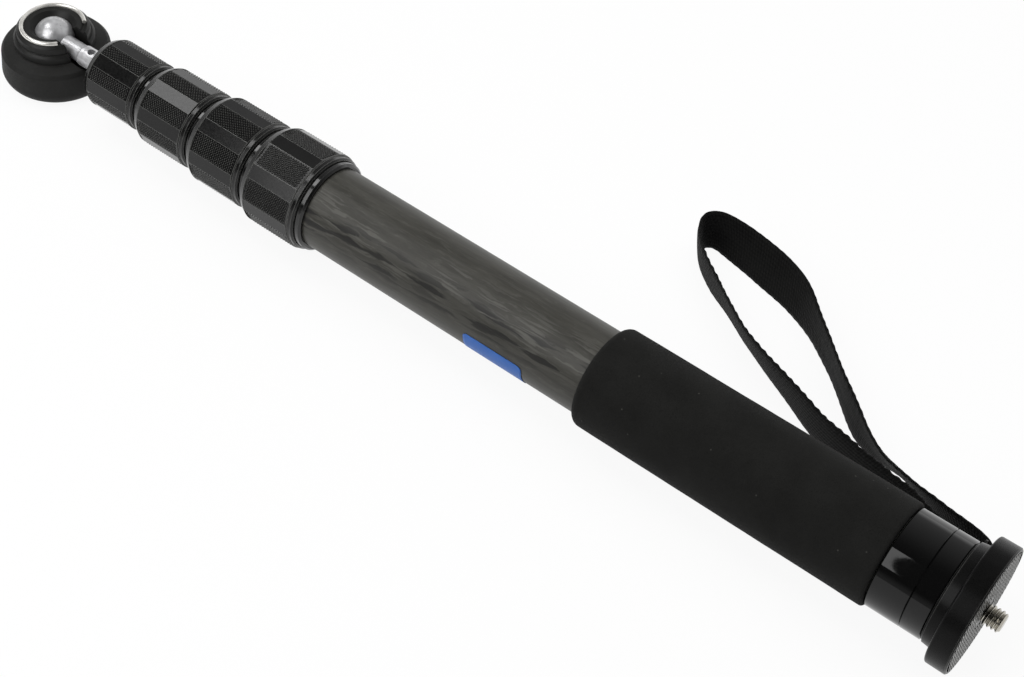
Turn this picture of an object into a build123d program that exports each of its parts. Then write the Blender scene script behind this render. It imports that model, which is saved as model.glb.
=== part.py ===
from build123d import *

# Camera monopod, pushed in and lying on a floor, in millimetres.
# The origin is the centre of the foot's sole. +X runs along the pole to the camera platform, +Z is up.
# Places along the pole are distances from the ball's centre, and end in _s.
# Heights on the foot are measured from the ball's centre, and end in _z.

import os
from math import asin, cos, degrees, dist, radians, sin, sqrt, tan

os.makedirs("parts", exist_ok=True)

# Fits shared by all pieces
glue_gap = 0.02
running_gap = 0.05
thread_gap = 0.08
overrun = 2.0

# Telescoping tubes, number 1 at the camera end and number 5 at the foot
section_count = 5
main_tube_r = 14.0
tube_step = 1.5
tube_wall = 1.0
main_tube_top_s = 349.0
inner_tube_top_s = 341.0
inner_tube_stagger = 1.5
foot_tube_start_s = 28.6
bush_len = 16.0
bush_slit = 1.5
travel_reserve = 5.0

# Twist locks, number 1 next to the main tube and number 4 next to the foot
foot_lock_s = 29.0
lock_spacing = 0.3
lock_sides = 8
collar_rise = 2.85
flats_len = 18.4
plain_flat_width = 4.8
rim_len = 1.9
rim_drop = 0.9
shoulder_step = 0.3
shoulder_len = 1.9
shoulder_drop = 0.5
shoulder_round = 0.6
lock_groove_len = 0.6
lock_groove_depth = 0.5
ferrule_wall = 1.2
ferrule_start = 6.0
ferrule_ring_len = 1.9
ferrule_ring_rise = 1.5
ferrule_ring_chamfer = 0.7
tube_seat = 10.0
collet_start = 1.8
collet_chamfer = 1.6
collet_nose_drop = 0.6
collet_slit = 1.2
collet_slit_len = 5.5
thread_relief = 0.5
mouth_gap = 0.35
mouth_land = 1.0
wiper_len = 1.5
wiper_wall = 1.0
plain_flat_angles = {1: 42.0, 2: 12.5, 3: 24.0, 4: 13.0}

# Foam grip
grip_start_s = 234.6
grip_end_s = 334.2
grip_wall = 2.65
grip_start_round = 2.4
grip_end_round = 0.9

# Cap on the main tube's end
cap_start_s = 334.6
cap_wall = 1.7
cap_edge = 0.3
cap_end_wall = 3.1
cap_seam_s = 345.6
cap_seam_width = 0.35
cap_seam_depth = 0.3

# Plate with the lug that the strap goes through
plate_len = 0.6
plate_step = 0.5
lug_inset = 5.0
lug_slot_gap = 0.6
lug_slot_width = 2.0
lug_bar = 1.7
lug_margin = 1.8
lug_slot_len = 16.0
lug_slot_drop = 6.5
lug_corner = 1.5

# Camera platform, its pad and its screws
platform_r = 20.0
neck_step = 0.2
neck_flare = 0.4
neck_len = 3.2
disc_len = 6.7
disc_back_round = 0.7
disc_front_chamfer = 0.4
pad_rim = 0.9
pad_recess = 0.7
pad_proud = 0.1
pad_clearance = 0.05
pad_rib_pitch = 1.6
pad_rib_gap = 0.6
pad_rib_depth = 0.3
pad_rib_angle = 40.0
ribs_outside_spot = 2
stud_r = 6.35 / 2
stud_pitch = 1.27
stud_thread_depth = 0.6
stud_crest = 0.2
stud_reach = 5.8
stud_tip_chamfer = 0.6
stud_flange_r = 5.2
stud_flange_len = 1.0
stud_tail = 3.8
stud_slot_width = 1.0
stud_slot_depth = 0.5
stud_slot_inset = 0.5
bolt_r = 2.5
bolt_head_r = 4.25
bolt_head_len = 4.0
bolt_socket_r = 2.3
bolt_socket_depth = 2.2
bolt_bite = 4.2
bolt_hole_extra = 0.3
bolt_end_gap = 0.5
bolt_washer_r = 6.0
bolt_washer_len = 0.8

# Label on the main tube, without its words
label_start_s = 193.0
label_len = 22.2
label_film = 0.12
label_top_angle = 2.5
label_sweep = 48.0

# Ball, stem and the plug that holds them in the smallest tube
ball_height = 15.8
ball_r = 7.0
stem_neck_r = 3.35
stem_r = 3.75
stem_step_s = 15.2
stem_step_len = 0.8
stem_tail_r = 3.0
stem_tail_len = 13.5
cross_hole_s = 18.8
cross_hole_r = 1.4
plug_len = 17.0
plug_flange_len = 1.0
plug_chamfer = 0.6

# Rubber foot
sole_r = 15.0
base_r = 19.3
base_top_r = 18.6
sole_round_height = 4.8
sole_bulge_share = 0.7
sole_chamfer = 0.4
base_shoulder_z = -4.0
shoulder_edge_z = -2.75
shoulder_edge_r = 17.6
shoulder_top_z = -1.2
pocket_r = 12.7
pocket_floor_z = -10.5
sole_recess_r = 7.5
sole_recess_depth = 2.6

# Cup that holds the ball
cup_flange_r = 13.8
cup_flange_z = 1.9
cup_flange_round = 0.8
cup_boss_r = 12.5
cup_top_z = 5.3
cup_top_round = 1.0
cup_floor_wall = 2.2
mouth_z = 3.3
mouth_flare_r = 8.0
slot_half_width = 4.6
seat_wall = 1.2
seat_top_z = -2.0
ring_r = 10.6
ring_wire_r = 0.75
ring_lift = 0.15
ring_groove_gap = 0.1
ring_open_start = -34.0
ring_open_end = 50.0
foot_screw_r = 2.0
foot_screw_head_r = 3.6
foot_screw_head_len = 1.4
foot_screw_bite = 1.8
foot_screw_socket_r = 1.5
foot_screw_socket_depth = 0.8
foot_washer_r = 6.5
foot_washer_len = 0.8

# Wrist strap, a flat band that stands on its edge. Its route is (back from the cap's end, out from the lug's slot)
strap_width = 15.0
strap_thickness = 1.4
strap_floor_gap = 0.2
strap_rise_start = 62.0
strap_rise_end = 7.0
strap_route_steps = [
    (1.6, 0.05), (8.6, 0.45), (20.1, 1.6), (33.1, 5.3), (48.1, 12.1), (61.6, 18.7), (73.1, 23),
    (86.1, 28.3), (96.8, 33.4), (107.6, 40.1), (119.5, 47.3), (126.6, 52.3), (131.5, 58.1),
    (133.5, 63.9), (130.1, 67.7), (123.1, 67.7), (113.6, 65.9), (102.1, 63.1), (91.6, 58.9),
    (82.1, 51.9), (72.1, 44.1), (61.6, 34.6), (50.6, 25.1), (41.1, 19.5), (31.6, 15.7),
    (22.1, 11.3), (11.6, 6.7), (-2.3, 3.5), (-2.3, 0), (1.5, 0),
]
bend_share = 0.45

# Sizes that follow from the ones above
tube_r = {n: main_tube_r - tube_step * (n - 1) for n in range(1, section_count + 1)}
lock_count = section_count - 1
collar_len = flats_len + shoulder_step + shoulder_len
lock_pitch = rim_len + collar_len + lock_groove_len + ferrule_ring_len + lock_spacing
lock_s = {n: foot_lock_s + lock_pitch * (lock_count - n) for n in range(1, section_count)}
tube_top_s = {n: inner_tube_top_s - inner_tube_stagger * (n - 2) for n in range(2, section_count + 1)}
tube_top_s[1] = main_tube_top_s
tube_start_s = {n: lock_s[n] + tube_seat for n in range(1, section_count)}
tube_start_s[section_count] = foot_tube_start_s
cap_end_s = main_tube_top_s + cap_end_wall
neck_s = cap_end_s + plate_len
disc_s = neck_s + neck_len
grip_r = main_tube_r + grip_wall
cap_r = main_tube_r + cap_wall
plate_r = cap_r - plate_step
neck_r = cap_r + neck_step
disc_front_s = disc_s + disc_len
pad_s = disc_front_s - pad_recess
pad_r = platform_r - pad_rim
stud_flange_s = disc_front_s - stud_flange_len
bolt_head_s = main_tube_top_s - bolt_washer_len - bolt_head_len
bolt_end_s = neck_s + bolt_bite
plug_start_s = foot_tube_start_s - plug_flange_len
seat_r = ball_r + running_gap + seat_wall
lug_slot_near = cap_r + lug_slot_gap
lug_slot_far = lug_slot_near + lug_slot_width
lug_end = lug_slot_far + lug_bar
lug_slot_middle = lug_slot_near + lug_slot_width / 2
strap_route = [(cap_end_s - back, lug_slot_middle + out) for back, out in strap_route_steps]

# The foot's sole and the platform's rim both rest on the floor, so the pole leans up a little
lean = degrees(asin((platform_r - ball_height) / (disc_s + disc_back_round)))
ball_centre = Vector(0, 0, ball_height)
along_pole = Vector(cos(radians(lean)), 0, sin(radians(lean)))
# The platform's rim widens a little towards its front, so that it lies along the floor
rim_front_r = platform_r + (disc_len - disc_back_round - disc_front_chamfer) * tan(radians(lean))
pole_axis = Axis(ball_centre, along_pole)
foot_axis = Axis((0, 0, 0), (0, 0, 1))

# Outlines of turned pieces are drawn as (place along the pole, radius) or (radius, height on the foot)
pole_side = Plane(origin=ball_centre, x_dir=along_pole, z_dir=(0, -1, 0))
foot_side = Plane(origin=ball_centre, x_dir=(1, 0, 0), z_dir=(0, -1, 0))
# Sections square to the pole have +Y, the back, to the right
pole_end = Plane(origin=ball_centre, x_dir=(0, 1, 0), z_dir=along_pole)
foot_top = Plane(origin=ball_centre)


def turned(points):
    """A piece turned about the pole from (place along the pole, radius) points."""
    with BuildPart() as piece:
        with BuildSketch(pole_side):
            with BuildLine():
                Polyline(*points, close=True)
            make_face()
        revolve(axis=pole_axis)
    return piece.part


def sleeve(start_s, end_s, inner_r, outer_r):
    """A plain turned sleeve."""
    return turned([(start_s, inner_r), (end_s, inner_r), (end_s, outer_r), (start_s, outer_r)])


def collar_outline(n):
    """Points of a twist collar, along its outside to the camera end and back through its bore."""
    start_s = lock_s[n]
    collar_r = tube_r[n] + collar_rise
    thread_r = tube_r[n] + ferrule_wall + thread_gap
    mouth_r = tube_r[n + 1] + mouth_gap
    wiper_r = tube_r[n + 1] + running_gap + wiper_wall
    shoulder_r = collar_r - shoulder_drop
    shoulder_s = start_s + flats_len + shoulder_step
    end_s = start_s + collar_len
    wiper_s = start_s - rim_len + mouth_land
    cone_s = start_s + collet_start - running_gap
    nose_r = tube_r[n] - collet_nose_drop + thread_gap
    return [
        (start_s - rim_len, collar_r - rim_drop),
        (start_s, collar_r),
        (start_s + flats_len, collar_r),
        (shoulder_s, shoulder_r),
        (end_s - shoulder_round, shoulder_r),
        (end_s, shoulder_r - shoulder_round),
        (end_s, thread_r),
        (start_s + ferrule_start - thread_relief, thread_r),
        (start_s + ferrule_start - thread_relief, tube_r[n] + thread_gap),
        (cone_s + collet_chamfer, tube_r[n] + thread_gap),
        (cone_s, nose_r),
        (cone_s, mouth_r),
        (wiper_s + wiper_len, mouth_r),
        (wiper_s + wiper_len, wiper_r),
        (wiper_s, wiper_r),
        (wiper_s, mouth_r),
        (start_s - rim_len, mouth_r),
    ]


def flat_corners(n):
    """Corners of the section with narrow plain flats between wider knurled ones."""
    collar_r = tube_r[n] + collar_rise
    half_angle = degrees(asin(plain_flat_width / 2 / collar_r))
    corners = []
    for side in range(lock_sides):
        middle = 180 - plain_flat_angles[n] - side * 360 / lock_sides
        for angle in (middle + half_angle, middle - half_angle):
            corners.append((collar_r * cos(radians(angle)), collar_r * sin(radians(angle))))
    return corners


# Tubes
for n in range(1, section_count + 1):
    with BuildPart() as tube:
        add(sleeve(tube_start_s[n], tube_top_s[n], tube_r[n] - tube_wall, tube_r[n]))
    tube_name = "main_tube" if n == 1 else f"tube_{n}"
    tube.part.label = tube_name
    export_step(tube.part, f"parts/{tube_name}.step")

# Guide bushes on the upper ends of the inner tubes, each slit along its length
for n in range(2, section_count + 1):
    bush_r = tube_r[n - 1] - tube_wall - running_gap
    with BuildPart() as bush:
        add(sleeve(tube_top_s[n] - bush_len, tube_top_s[n], tube_r[n] + glue_gap, bush_r))
        with BuildSketch(pole_end.offset(tube_top_s[n] + overrun)):
            with Locations((0, bush_r)):
                Rectangle(bush_slit, 2 * (bush_r - tube_r[n] + overrun))
        extrude(amount=-bush_len - 2 * overrun, mode=Mode.SUBTRACT)
    bush.part.label = f"tube_bush_{n}"
    export_step(bush.part, f"parts/tube_bush_{n}.step")

# Twist locks
for n in range(1, section_count):
    start_s = lock_s[n]
    end_s = start_s + collar_len
    collar_r = tube_r[n] + collar_rise
    ring_s = end_s + lock_groove_len
    thread_r = tube_r[n] + ferrule_wall
    ferrule_bore_r = tube_r[n] + glue_gap
    ring_top_r = tube_r[n] + ferrule_ring_rise

    # Collar: turned, then its flats are cut
    with BuildPart() as collar:
        add(turned(collar_outline(n)))
        with BuildSketch(pole_end.offset(start_s)):
            Circle(collar_r + overrun)
            with BuildLine():
                Polyline(*flat_corners(n), close=True)
            make_face(mode=Mode.SUBTRACT)
        extrude(amount=flats_len, mode=Mode.SUBTRACT)
    collar.part.label = f"lock_collar_{n}"
    export_step(collar.part, f"parts/lock_collar_{n}.step")

    # Threaded ferrule on the larger tube, with the ring that shows above the collar
    with BuildPart() as ferrule:
        add(turned([
            (start_s + ferrule_start, ferrule_bore_r),
            (ring_s + ferrule_ring_len, ferrule_bore_r),
            (ring_s + ferrule_ring_len, ring_top_r - ferrule_ring_chamfer),
            (ring_s + ferrule_ring_len - ferrule_ring_chamfer, ring_top_r),
            (ring_s, ring_top_r),
            (ring_s, thread_r - lock_groove_depth),
            (end_s, thread_r - lock_groove_depth),
            (end_s, thread_r),
            (start_s + ferrule_start, thread_r),
        ]))
    ferrule.part.label = f"lock_ferrule_{n}"
    export_step(ferrule.part, f"parts/lock_ferrule_{n}.step")

    # Split collet that the collar squeezes on the smaller tube
    collet_s = start_s + collet_start
    collet_r = tube_r[n] - glue_gap
    collet_bore_r = tube_r[n + 1] + running_gap
    with BuildPart() as collet:
        add(turned([
            (collet_s, collet_bore_r),
            (tube_start_s[n] - glue_gap, collet_bore_r),
            (tube_start_s[n] - glue_gap, collet_r),
            (collet_s + collet_chamfer, collet_r),
            (collet_s, collet_r - collet_nose_drop),
        ]))
        with BuildSketch(pole_end.offset(collet_s - overrun)):
            Rectangle(collet_slit, 2 * (collet_r + overrun))
            Rectangle(2 * (collet_r + overrun), collet_slit)
        extrude(amount=collet_slit_len + overrun, mode=Mode.SUBTRACT)
    collet.part.label = f"lock_collet_{n}"
    export_step(collet.part, f"parts/lock_collet_{n}.step")

    # Wiper ring in the collar's mouth
    wiper_s = start_s - rim_len + mouth_land + glue_gap
    wiper_bore_r = tube_r[n + 1] + running_gap
    with BuildPart() as wiper:
        add(sleeve(wiper_s, wiper_s + wiper_len - 2 * glue_gap, wiper_bore_r, wiper_bore_r + wiper_wall - glue_gap))
    wiper.part.label = f"lock_wiper_{n}"
    export_step(wiper.part, f"parts/lock_wiper_{n}.step")

# Foam grip, rounder at the end that faces the locks
with BuildPart() as foam_grip:
    with BuildSketch(pole_side):
        with BuildLine():
            Polyline(
                (grip_start_s, grip_r - grip_start_round),
                (grip_start_s, main_tube_r + glue_gap),
                (grip_end_s, main_tube_r + glue_gap),
                (grip_end_s, grip_r - grip_end_round),
            )
            JernArc((grip_end_s, grip_r - grip_end_round), (0, 1), grip_end_round, 90)
            Line((grip_end_s - grip_end_round, grip_r), (grip_start_s + grip_start_round, grip_r))
            JernArc((grip_start_s + grip_start_round, grip_r), (-1, 0), grip_start_round, 90)
        make_face()
    revolve(axis=pole_axis)
foam_grip.part.label = "foam_grip"
export_step(foam_grip.part, "parts/foam_grip.step")

# Cap with its seam groove and the bolt's hole
bolt_hole_r = bolt_r + bolt_hole_extra
with BuildPart() as top_cap:
    add(turned([
        (cap_start_s, main_tube_r + glue_gap),
        (main_tube_top_s, main_tube_r + glue_gap),
        (main_tube_top_s, bolt_hole_r),
        (cap_end_s, bolt_hole_r),
        (cap_end_s, cap_r - cap_edge),
        (cap_end_s - cap_edge, cap_r),
        (cap_seam_s + cap_seam_width / 2, cap_r),
        (cap_seam_s, cap_r - cap_seam_depth),
        (cap_seam_s - cap_seam_width / 2, cap_r),
        (cap_start_s + cap_edge, cap_r),
        (cap_start_s, cap_r - cap_edge),
    ]))
top_cap.part.label = "top_cap"
export_step(top_cap.part, "parts/top_cap.step")

# Thin plate under the platform, with the slotted lug at the back
with BuildPart() as strap_plate:
    with BuildSketch(pole_end.offset(cap_end_s)):
        Circle(plate_r)
        with Locations(((plate_r - lug_inset + lug_end) / 2, -lug_slot_drop)):
            RectangleRounded(lug_end - plate_r + lug_inset, lug_slot_len + 2 * lug_margin, lug_corner)
        with Locations(((lug_slot_near + lug_slot_far) / 2, -lug_slot_drop)):
            Rectangle(lug_slot_width, lug_slot_len, mode=Mode.SUBTRACT)
        Circle(bolt_hole_r, mode=Mode.SUBTRACT)
    extrude(amount=plate_len)
strap_plate.part.label = "strap_plate"
export_step(strap_plate.part, "parts/strap_plate.step")

# Camera platform: neck, disc with a recessed front, and a threaded middle
with BuildPart() as camera_platform:
    with BuildSketch(pole_side):
        with BuildLine():
            Polyline(
                (disc_s + disc_back_round, platform_r),
                (disc_front_s - disc_front_chamfer, rim_front_r),
                (disc_front_s, rim_front_r - disc_front_chamfer),
                (disc_front_s, pad_r),
                (pad_s, pad_r),
                (pad_s, stud_flange_r + glue_gap),
                (stud_flange_s, stud_flange_r + glue_gap),
                (stud_flange_s, stud_r - stud_thread_depth + glue_gap),
                (bolt_end_s + bolt_end_gap, stud_r - stud_thread_depth + glue_gap),
                (bolt_end_s + bolt_end_gap, bolt_r + glue_gap),
                (neck_s, bolt_r + glue_gap),
                (neck_s, neck_r),
                (disc_s, neck_r + neck_flare),
                (disc_s, platform_r - disc_back_round),
            )
            JernArc((disc_s, platform_r - disc_back_round), (0, 1), disc_back_round, -90)
        make_face()
    revolve(axis=pole_axis)
camera_platform.part.label = "camera_platform"
export_step(camera_platform.part, "parts/camera_platform.step")

# Ribbed pad in the platform's recess
pad_face_s = disc_front_s + pad_proud
pad_outer_r = pad_r - pad_clearance
rib_count = int(pad_outer_r // pad_rib_pitch)
with BuildPart() as platform_pad:
    add(sleeve(pad_s, pad_face_s, stud_flange_r + pad_clearance, pad_outer_r))
    with BuildSketch(pole_end.offset(pad_face_s)):
        with Locations(Location((0, 0, 0), (0, 0, pad_rib_angle))):
            for rib in range(-rib_count, rib_count + 1):
                with Locations((rib * pad_rib_pitch, 0)):
                    Rectangle(pad_rib_gap, 2 * platform_r)
    extrude(amount=-pad_rib_depth, mode=Mode.SUBTRACT)
platform_pad.part.label = "platform_pad"
export_step(platform_pad.part, "parts/platform_pad.step")

# Camera screw with its slotted flange, its thread drawn as rings
stud_tip_s = disc_front_s + stud_reach
stud_tail_s = stud_flange_s - stud_tail
crest_count = int((stud_reach - stud_tip_chamfer) // stud_pitch)
stud_root_r = stud_r - stud_thread_depth
thread_points = []
for crest in range(crest_count):
    crest_s = stud_tip_s - stud_tip_chamfer - crest * stud_pitch
    thread_points.append((crest_s, stud_r))
    thread_points.append((crest_s - stud_crest, stud_r))
    thread_points.append((crest_s - (stud_pitch + stud_crest) / 2, stud_root_r))
last_crest_s = stud_tip_s - stud_tip_chamfer - crest_count * stud_pitch
with BuildPart() as camera_stud:
    add(turned([
        (stud_tail_s, 0),
        (stud_tip_s, 0),
        (stud_tip_s, stud_r - stud_tip_chamfer),
        *thread_points,
        (last_crest_s, stud_r),
        (disc_front_s, stud_r),
        (disc_front_s, stud_flange_r),
        (stud_flange_s, stud_flange_r),
        (stud_flange_s, stud_root_r),
        (stud_tail_s, stud_root_r),
    ]))
    with BuildSketch(pole_end.offset(disc_front_s)):
        with PolarLocations((stud_r + stud_flange_r) / 2 + stud_slot_inset, 2):
            Rectangle(stud_flange_r - stud_r, stud_slot_width)
    extrude(amount=-stud_slot_depth, mode=Mode.SUBTRACT)
camera_stud.part.label = "camera_stud"
export_step(camera_stud.part, "parts/camera_stud.step")

# Bolt and washer that hold the platform on the cap, inside the main tube
with BuildPart() as platform_bolt:
    add(turned([
        (bolt_head_s + bolt_socket_depth, 0),
        (bolt_end_s, 0),
        (bolt_end_s, bolt_r),
        (bolt_head_s + bolt_head_len, bolt_r),
        (bolt_head_s + bolt_head_len, bolt_head_r),
        (bolt_head_s, bolt_head_r),
        (bolt_head_s, bolt_socket_r),
        (bolt_head_s + bolt_socket_depth, bolt_socket_r),
    ]))
platform_bolt.part.label = "platform_bolt"
export_step(platform_bolt.part, "parts/platform_bolt.step")

with BuildPart() as platform_washer:
    add(sleeve(bolt_head_s + bolt_head_len, main_tube_top_s, bolt_hole_r, bolt_washer_r))
platform_washer.part.label = "platform_washer"
export_step(platform_washer.part, "parts/platform_washer.step")

# Label film on the lower front of the main tube
with BuildPart() as label_patch:
    with BuildSketch(pole_side):
        with Locations((label_start_s + label_len / 2, main_tube_r + label_film / 2)):
            Rectangle(label_len, label_film)
    revolve(axis=pole_axis, revolution_arc=label_sweep)
label_patch.part = label_patch.part.rotate(pole_axis, 90 - label_top_angle)
label_patch.part.label = "label_patch"
export_step(label_patch.part, "parts/label_patch.step")

# Plug in the smallest tube
plug_r = tube_r[section_count] - tube_wall - glue_gap
plug_bore_r = stem_tail_r + running_gap
with BuildPart() as end_plug:
    add(turned([
        (plug_start_s, plug_bore_r),
        (plug_start_s + plug_len, plug_bore_r),
        (plug_start_s + plug_len, plug_r - plug_chamfer),
        (plug_start_s + plug_len - plug_chamfer, plug_r),
        (foot_tube_start_s, plug_r),
        (foot_tube_start_s, tube_r[section_count]),
        (plug_start_s, tube_r[section_count]),
    ]))
end_plug.part.label = "end_plug"
export_step(end_plug.part, "parts/end_plug.step")

# Ball with its stem and threaded tail
stem_end_s = plug_start_s - running_gap
with BuildPart() as ball_stem:
    with BuildSketch(pole_side):
        with BuildLine():
            ThreePointArc((-ball_r, 0), (0, ball_r), (sqrt(ball_r**2 - stem_neck_r**2), stem_neck_r))
            Polyline(
                (sqrt(ball_r**2 - stem_neck_r**2), stem_neck_r),
                (stem_step_s - stem_step_len, stem_neck_r),
                (stem_step_s, stem_r),
                (stem_end_s, stem_r),
                (stem_end_s, stem_tail_r),
                (stem_end_s + stem_tail_len, stem_tail_r),
                (stem_end_s + stem_tail_len, 0),
                (-ball_r, 0),
            )
        make_face()
    revolve(axis=pole_axis)
    cross_hole = Plane(origin=ball_centre + along_pole * cross_hole_s, z_dir=(0, 0, 1))
    with BuildSketch(cross_hole.offset(-stem_r - overrun)):
        Circle(cross_hole_r)
    extrude(amount=2 * (stem_r + overrun), mode=Mode.SUBTRACT)
ball_stem.part.label = "ball_stem"
export_step(ball_stem.part, "parts/ball_stem.step")

# Rubber base of the foot, with the pocket for the cup and the notch for the stem
recess_z = -ball_height + sole_recess_depth
sole_edge_r = sole_r + sole_chamfer
sole_edge_z = -ball_height + sole_chamfer
sole_round_top_z = -ball_height + sole_round_height
sole_bulge_r = sole_edge_r + (base_r - sole_edge_r) * sole_bulge_share
sole_bulge_z = sole_round_top_z - (sole_round_top_z - sole_edge_z) * sole_bulge_share
with BuildPart() as foot_base:
    with BuildSketch(foot_side):
        with BuildLine():
            ThreePointArc((sole_edge_r, sole_edge_z), (sole_bulge_r, sole_bulge_z), (base_r, sole_round_top_z))
            Polyline(
                (base_r, sole_round_top_z),
                (base_top_r, base_shoulder_z),
                (shoulder_edge_r, shoulder_edge_z),
                (cup_flange_r, shoulder_top_z),
                (pocket_r + glue_gap, shoulder_top_z),
                (pocket_r + glue_gap, pocket_floor_z),
                (foot_screw_r + glue_gap, pocket_floor_z),
                (foot_screw_r + glue_gap, recess_z),
                (sole_recess_r, recess_z),
                (sole_recess_r, -ball_height),
                (sole_r, -ball_height),
                (sole_edge_r, sole_edge_z),
            )
        make_face()
    revolve(axis=foot_axis)
    with BuildSketch(pole_end):
        Circle(slot_half_width)
        with Locations((0, slot_half_width)):
            Rectangle(2 * slot_half_width, 2 * slot_half_width)
    extrude(amount=base_r + overrun, mode=Mode.SUBTRACT)
foot_base.part.label = "foot_base"
export_step(foot_base.part, "parts/foot_base.step")

# Cup: turned outside, then the socket, its mouth, the stem's slot and the ring's groove are cut
ball_space_r = ball_r + running_gap
mouth_r = sqrt(ball_space_r**2 - mouth_z**2)
ring_z = cup_top_z + ring_lift
with BuildPart() as foot_cup:
    with BuildSketch(foot_side):
        with BuildLine():
            Polyline(
                (0, pocket_floor_z),
                (pocket_r, pocket_floor_z),
                (pocket_r, shoulder_top_z),
                (cup_flange_r, shoulder_top_z),
                (cup_flange_r, cup_flange_z - cup_flange_round),
                (cup_flange_r - cup_flange_round, cup_flange_z),
                (cup_boss_r, cup_flange_z),
                (cup_boss_r, cup_top_z - cup_top_round),
                (cup_boss_r - cup_top_round, cup_top_z),
                (mouth_flare_r, cup_top_z),
                (mouth_r, mouth_z),
                (0, mouth_z),
                close=True,
            )
        make_face()
    revolve(axis=foot_axis)
    with BuildSketch(foot_side):
        with BuildLine():
            Line((0, -ball_space_r), (0, ball_space_r))
            RadiusArc((0, ball_space_r), (0, -ball_space_r), ball_space_r)
        make_face()
    revolve(axis=foot_axis, mode=Mode.SUBTRACT)
    with BuildSketch(foot_side):
        with BuildLine():
            seat_top_r = sqrt(seat_r**2 - seat_top_z**2)
            Polyline((0, -seat_r), (0, seat_top_z), (seat_top_r, seat_top_z))
            RadiusArc((seat_top_r, seat_top_z), (0, -seat_r), seat_r)
        make_face()
    revolve(axis=foot_axis, mode=Mode.SUBTRACT)
    with BuildSketch(foot_side):
        with BuildLine():
            Polyline(
                (0, pocket_floor_z - overrun),
                (foot_screw_r + glue_gap, pocket_floor_z - overrun),
                (foot_screw_r + glue_gap, pocket_floor_z + foot_screw_bite + glue_gap),
                (0, pocket_floor_z + foot_screw_bite + glue_gap),
                close=True,
            )
        make_face()
    revolve(axis=foot_axis, mode=Mode.SUBTRACT)
    with BuildSketch(pole_end):
        Circle(slot_half_width)
        with Locations((0, slot_half_width)):
            Rectangle(2 * slot_half_width, 2 * slot_half_width)
    extrude(amount=base_r + overrun, mode=Mode.SUBTRACT)
    with BuildSketch(foot_side):
        with Locations((ring_r, ring_z)):
            Circle(ring_wire_r + ring_groove_gap)
    revolve(axis=foot_axis, mode=Mode.SUBTRACT)
foot_cup.part.label = "foot_cup"
export_step(foot_cup.part, "parts/foot_cup.step")

# Liner under the ball
with BuildPart() as foot_seat:
    with BuildSketch(foot_side):
        with BuildLine():
            inner_r = ball_r + running_gap
            outer_r = seat_r - glue_gap
            inner_top_r = sqrt(inner_r**2 - seat_top_z**2)
            outer_top_r = sqrt(outer_r**2 - seat_top_z**2)
            RadiusArc((inner_top_r, seat_top_z), (0, -inner_r), inner_r)
            Line((0, -inner_r), (0, -outer_r))
            RadiusArc((0, -outer_r), (outer_top_r, seat_top_z), -outer_r)
            Line((outer_top_r, seat_top_z), (inner_top_r, seat_top_z))
        make_face()
    revolve(axis=foot_axis)
    with BuildSketch(pole_end):
        Circle(slot_half_width)
    extrude(amount=base_r, mode=Mode.SUBTRACT)
foot_seat.part.label = "foot_seat"
export_step(foot_seat.part, "parts/foot_seat.step")

# Open wire ring round the cup's mouth
ring_sweep = 360 - (ring_open_end - ring_open_start)
with BuildPart() as foot_ring:
    with BuildSketch(foot_side):
        with Locations((ring_r, ring_z)):
            Circle(ring_wire_r)
    revolve(axis=foot_axis, revolution_arc=ring_sweep)
foot_ring.part = foot_ring.part.rotate(foot_axis, ring_open_end)
foot_ring.part.label = "foot_ring"
export_step(foot_ring.part, "parts/foot_ring.step")

# Screw and washer in the sole's recess
washer_z = recess_z - foot_washer_len
with BuildPart() as foot_washer:
    with BuildSketch(foot_top.offset(washer_z)):
        Circle(foot_washer_r)
        Circle(foot_screw_r + glue_gap, mode=Mode.SUBTRACT)
    extrude(amount=foot_washer_len)
foot_washer.part.label = "foot_washer"
export_step(foot_washer.part, "parts/foot_washer.step")

with BuildPart() as foot_screw:
    with BuildSketch(foot_top.offset(washer_z - foot_screw_head_len)):
        Circle(foot_screw_head_r)
    extrude(amount=foot_screw_head_len)
    with BuildSketch(foot_top.offset(washer_z)):
        Circle(foot_screw_r)
    extrude(amount=pocket_floor_z + foot_screw_bite - washer_z)
    with BuildSketch(foot_top.offset(washer_z - foot_screw_head_len)):
        RegularPolygon(foot_screw_socket_r, 6)
    extrude(amount=foot_screw_socket_depth, mode=Mode.SUBTRACT)
foot_screw.part.label = "foot_screw"
export_step(foot_screw.part, "parts/foot_screw.step")

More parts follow.
